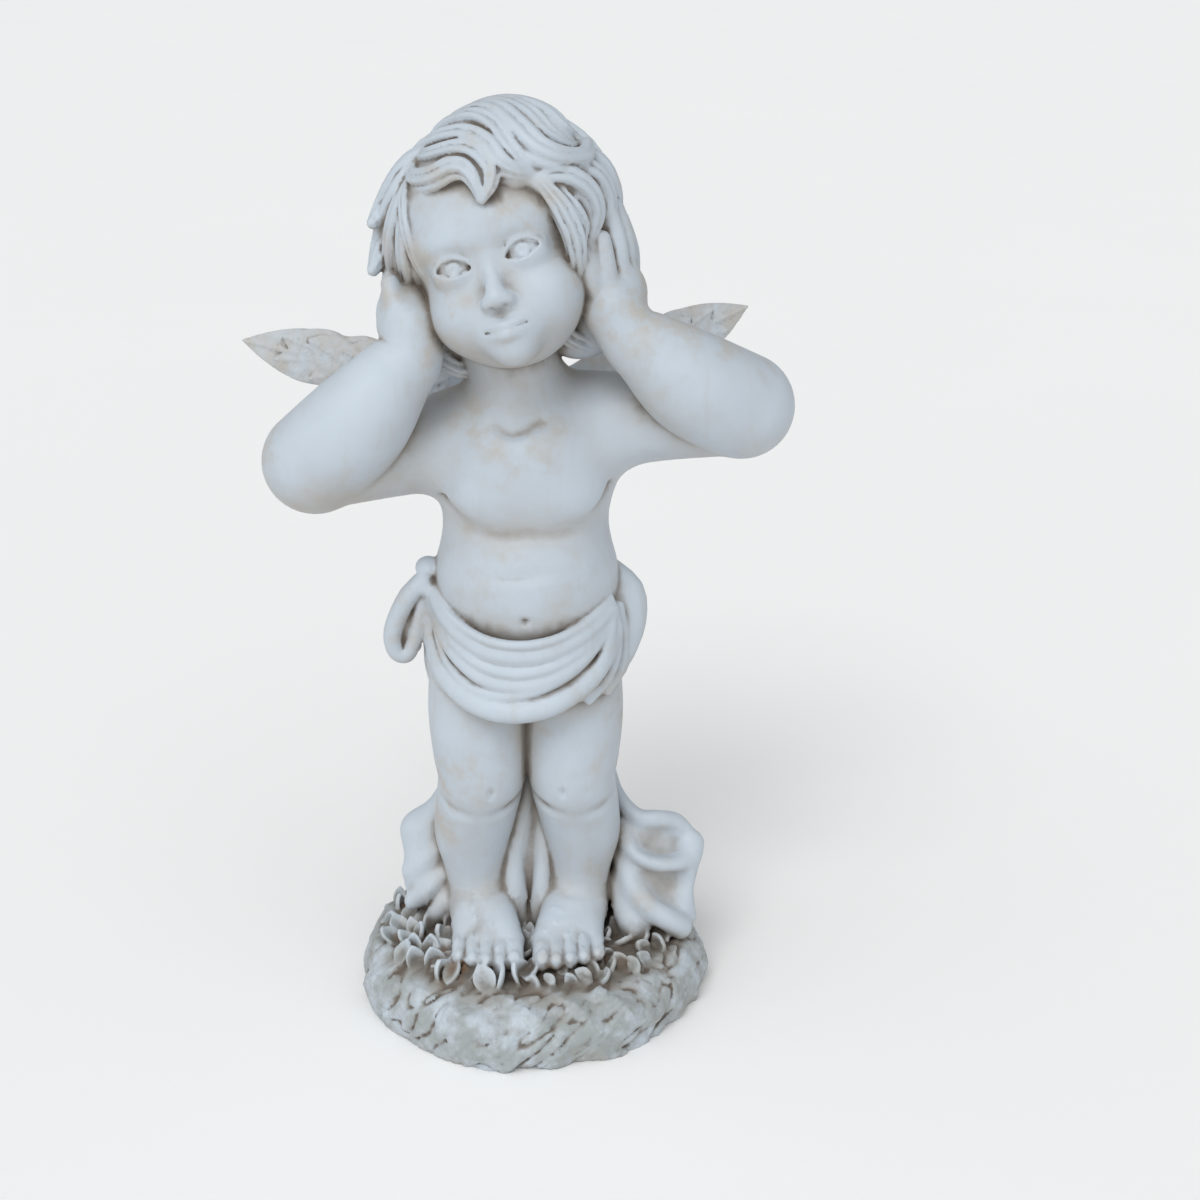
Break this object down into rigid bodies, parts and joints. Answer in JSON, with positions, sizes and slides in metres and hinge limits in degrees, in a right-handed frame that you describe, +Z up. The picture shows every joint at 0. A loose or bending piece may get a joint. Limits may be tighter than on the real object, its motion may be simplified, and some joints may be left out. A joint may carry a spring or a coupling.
{
  "type": "cherub garden statue",
  "caption": "Standing winged cherub with both hands over its ears and a cloth knotted round its hips, on a round base strewn with leaves.",
  "frame": {"origin": "on the ground, under the middle of the round base", "axes": "+Z up; the figure faces -Y, so +X is on the viewer's right and +Y is towards its back"},
  "size_m": [0.2571, 0.1834, 0.4397],
  "materials": {
    "resin": "pale cast resin with a faint beige wash left in the hollows"
  },
  "bodies": {
    "root": {"angel_statue": "resin"}
  },
  "joints": []
}
